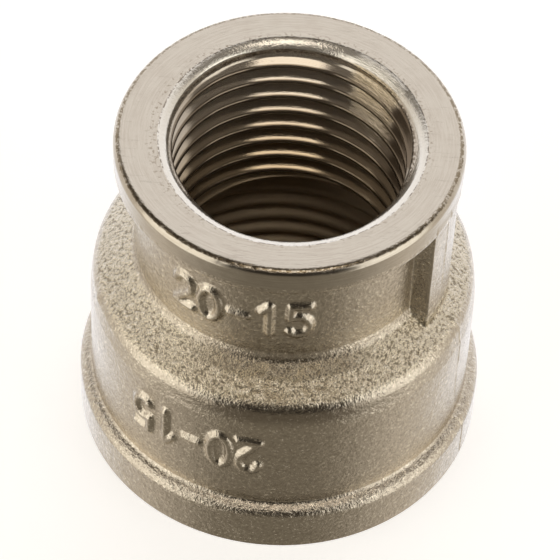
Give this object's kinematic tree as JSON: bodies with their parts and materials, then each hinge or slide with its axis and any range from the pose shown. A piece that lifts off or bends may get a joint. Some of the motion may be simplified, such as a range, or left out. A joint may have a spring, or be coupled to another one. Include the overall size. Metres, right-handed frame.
{
  "type": "reducing coupling",
  "caption": "Female reducing pipe coupling: stepped round body with internal parallel pipe threads at both ends, a head flange, a neck rib and a foot bead.",
  "frame": {"origin": "centre of the wide end's face, on the bore's axis", "axes": "+Z along the bore towards the narrow end; the neck's rib lies 22.5 degrees clockwise of +X seen from above, and the raised numerals face -Y"},
  "size_m": [0.034, 0.034, 0.032],
  "materials": {
    "nickel_plate": "satin nickel plate over forged brass"
  },
  "bodies": {
    "root": {"coupling_body": "nickel_plate"}
  },
  "joints": []
}
